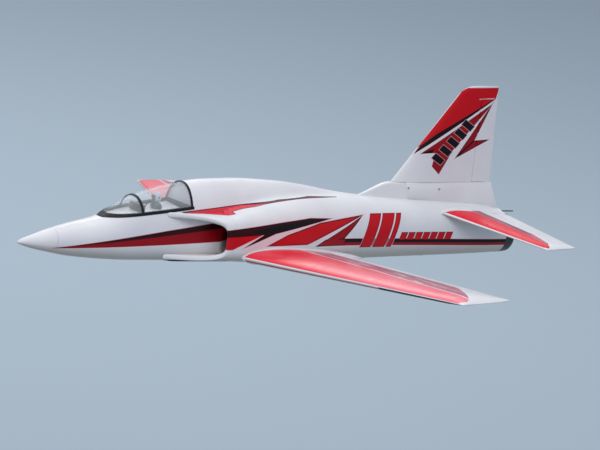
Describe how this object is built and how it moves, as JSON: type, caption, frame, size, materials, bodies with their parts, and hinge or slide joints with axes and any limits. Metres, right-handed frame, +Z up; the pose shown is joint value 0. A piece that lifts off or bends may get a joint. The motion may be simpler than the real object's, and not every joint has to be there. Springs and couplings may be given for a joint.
{
  "type": "rc jet plane",
  "caption": "Foam sport jet model with a ducted fan in a split duct, a lift-off canopy, and servo-driven ailerons, elevators and rudder on a swept wing and tail.",
  "frame": {"origin": "on the flat underside of the belly skid, in the middle of the width, close below the centre of gravity, so z = 0 is the ground", "axes": "+X towards the tail, +Y towards the right wing tip, +Z up"},
  "size_m": [1.04, 0.9968, 0.307],
  "materials": {
    "white_foam": "painted smooth foam, glossy, with printed stripes",
    "black_plastic": "moulded, satin",
    "white_plastic": "moulded, satin",
    "carbon": "resin gloss over woven fibre",
    "steel_wire": "drawn wire",
    "clear_canopy": "clear moulded film",
    "plywood": "thin plain plywood",
    "battery_wrap": "shrink wrap",
    "strap": "woven hook-and-loop strap",
    "heatsink": "anodised",
    "motor_metal": "turned",
    "servo_case": "translucent moulded case",
    "pilot_suit": "painted",
    "pilot_helmet": "painted, with a dark visor"
  },
  "bodies": {
    "airframe": {"nose_cone": "white_foam", "fuselage_front": "white_foam", "fuselage_rear": "white_foam", "intake_left": "white_foam", "intake_right": "white_foam", "duct_splitter": "white_foam", "belly_skid": "black_plastic", "fan_hatch": "white_foam", "battery_tray": "plywood", "battery_pack": "battery_wrap", "battery_strap": "strap", "esc": "heatsink", "receiver": "black_plastic", "fan_housing": "black_plastic", "fan_motor": "motor_metal", "motor_tail_cone": "black_plastic", "thrust_tube": "carbon", "nozzle_ring": "black_plastic", "wing_left": "white_foam", "wing_right": "white_foam", "wing_spar": "carbon", "aileron_servo_left": "servo_case", "aileron_servo_right": "servo_case", "stab_left": "white_foam", "stab_right": "white_foam", "stab_spar": "carbon", "elevator_servo_left": "servo_case", "elevator_servo_right": "servo_case", "fin": "white_foam", "fin_block": "white_foam", "rudder_servo": "servo_case", "antenna_tube": "black_plastic"},
    "canopy_hatch": {"canopy_tray": "white_plastic", "canopy_frame": "black_plastic", "canopy_glass": "clear_canopy", "instrument_panel": "black_plastic", "pilot_torso": "pilot_suit", "pilot_helmet": "pilot_helmet"},
    "fan_rotor": {"fan_rotor": "black_plastic", "fan_spinner": "motor_metal"},
    "aileron_left": {"aileron_left": "white_foam", "aileron_horn_left": "black_plastic"},
    "aileron_servo_arm_left": {"aileron_servo_arm_left": "white_plastic"},
    "aileron_pushrod_left": {"aileron_pushrod_left": "steel_wire"},
    "aileron_right": {"aileron_right": "white_foam", "aileron_horn_right": "black_plastic"},
    "aileron_servo_arm_right": {"aileron_servo_arm_right": "white_plastic"},
    "aileron_pushrod_right": {"aileron_pushrod_right": "steel_wire"},
    "elevator_left": {"elevator_left": "white_foam", "elevator_horn_left": "black_plastic"},
    "elevator_servo_arm_left": {"elevator_servo_arm_left": "white_plastic"},
    "elevator_pushrod_left": {"elevator_pushrod_left": "steel_wire"},
    "elevator_right": {"elevator_right": "white_foam", "elevator_horn_right": "black_plastic"},
    "elevator_servo_arm_right": {"elevator_servo_arm_right": "white_plastic"},
    "elevator_pushrod_right": {"elevator_pushrod_right": "steel_wire"},
    "rudder": {"rudder": "white_foam", "rudder_horn": "black_plastic"},
    "rudder_servo_arm": {"rudder_servo_arm": "white_plastic"},
    "rudder_pushrod": {"rudder_pushrod": "steel_wire"}
  },
  "joints": [
    {"name": "aileron_left_hinge", "type": "hinge", "parent": "airframe", "child": "aileron_left", "pos_m": [0.14908, -0.3, 0.02644], "axis": [-0.208, 0.9779, -0.0233], "range_deg": [-20, 20]},
    {"name": "aileron_servo_arm_left_turn", "type": "hinge", "parent": "airframe", "child": "aileron_servo_arm_left", "pos_m": [0.10507, -0.30936, 0.02644], "axis": [-0.208, 0.9779, -0.0233], "range_deg": [-20, 20]},
    {"name": "aileron_pushrod_left_pin", "type": "hinge", "parent": "aileron_servo_arm_left", "child": "aileron_pushrod_left", "pos_m": [0.10512, -0.30961, 0.01544], "axis": [-0.208, 0.9779, -0.0233], "range_deg": [-20, 20]},
    {"name": "aileron_right_hinge", "type": "hinge", "parent": "airframe", "child": "aileron_right", "pos_m": [0.14908, 0.3, 0.02644], "axis": [0.208, 0.9779, 0.0233], "range_deg": [-20, 20]},
    {"name": "aileron_servo_arm_right_turn", "type": "hinge", "parent": "airframe", "child": "aileron_servo_arm_right", "pos_m": [0.10507, 0.30936, 0.02644], "axis": [0.208, 0.9779, 0.0233], "range_deg": [-20, 20]},
    {"name": "aileron_pushrod_right_pin", "type": "hinge", "parent": "aileron_servo_arm_right", "child": "aileron_pushrod_right", "pos_m": [0.10512, 0.30961, 0.01544], "axis": [0.208, 0.9779, 0.0233], "range_deg": [-20, 20]},
    {"name": "elevator_left_hinge", "type": "hinge", "parent": "airframe", "child": "elevator_left", "pos_m": [0.47862, -0.1, 0.07907], "axis": [-0.2796, 0.9491, 0.1452], "range_deg": [-20, 20]},
    {"name": "elevator_servo_arm_left_turn", "type": "hinge", "parent": "airframe", "child": "elevator_servo_arm_left", "pos_m": [0.44214, -0.1105, 0.07746], "axis": [-0.2796, 0.9491, 0.1452], "range_deg": [-20, 20]},
    {"name": "elevator_pushrod_left_pin", "type": "hinge", "parent": "elevator_servo_arm_left", "child": "elevator_pushrod_left", "pos_m": [0.44214, -0.10914, 0.06856], "axis": [-0.2796, 0.9491, 0.1452], "range_deg": [-20, 20]},
    {"name": "elevator_right_hinge", "type": "hinge", "parent": "airframe", "child": "elevator_right", "pos_m": [0.47862, 0.1, 0.07907], "axis": [0.2796, 0.9491, -0.1452], "range_deg": [-20, 20]},
    {"name": "elevator_servo_arm_right_turn", "type": "hinge", "parent": "airframe", "child": "elevator_servo_arm_right", "pos_m": [0.44214, 0.1105, 0.07746], "axis": [0.2796, 0.9491, -0.1452], "range_deg": [-20, 20]},
    {"name": "elevator_pushrod_right_pin", "type": "hinge", "parent": "elevator_servo_arm_right", "child": "elevator_pushrod_right", "pos_m": [0.44214, 0.10914, 0.06856], "axis": [0.2796, 0.9491, -0.1452], "range_deg": [-20, 20]},
    {"name": "rudder_hinge", "type": "hinge", "parent": "airframe", "child": "rudder", "pos_m": [0.43998, 0, 0.162], "axis": [0.0001, 0, 1], "range_deg": [-25, 25]},
    {"name": "rudder_servo_arm_turn", "type": "hinge", "parent": "airframe", "child": "rudder_servo_arm", "pos_m": [0.40398, 0, 0.16201], "axis": [0.0001, 0, 1], "range_deg": [-25, 25]},
    {"name": "rudder_pushrod_pin", "type": "hinge", "parent": "rudder_servo_arm", "child": "rudder_pushrod", "pos_m": [0.40398, 0.008, 0.16201], "axis": [0.0001, 0, 1], "range_deg": [-25, 25]},
    {"name": "fan_spin", "type": "hinge", "parent": "airframe", "child": "fan_rotor", "pos_m": [0.248, 0, 0.052], "axis": [1, 0, 0], "continuous": true},
    {"name": "canopy_lift", "type": "slide", "parent": "airframe", "child": "canopy_hatch", "axis": [0, 0, 1], "range_m": [0, 0.12]}
  ],
  "couplings": [
    {"joint": "aileron_servo_arm_left_turn", "follows": "aileron_left_hinge", "ratio": 1},
    {"joint": "aileron_pushrod_left_pin", "follows": "aileron_left_hinge", "ratio": -1},
    {"joint": "aileron_right_hinge", "follows": "aileron_left_hinge", "ratio": -1},
    {"joint": "aileron_servo_arm_right_turn", "follows": "aileron_left_hinge", "ratio": -1},
    {"joint": "aileron_pushrod_right_pin", "follows": "aileron_left_hinge", "ratio": 1},
    {"joint": "elevator_servo_arm_left_turn", "follows": "elevator_left_hinge", "ratio": 1},
    {"joint": "elevator_pushrod_left_pin", "follows": "elevator_left_hinge", "ratio": -1},
    {"joint": "elevator_right_hinge", "follows": "elevator_left_hinge", "ratio": 1},
    {"joint": "elevator_servo_arm_right_turn", "follows": "elevator_left_hinge", "ratio": 1},
    {"joint": "elevator_pushrod_right_pin", "follows": "elevator_left_hinge", "ratio": -1},
    {"joint": "rudder_servo_arm_turn", "follows": "rudder_hinge", "ratio": 1},
    {"joint": "rudder_pushrod_pin", "follows": "rudder_hinge", "ratio": -1}
  ]
}
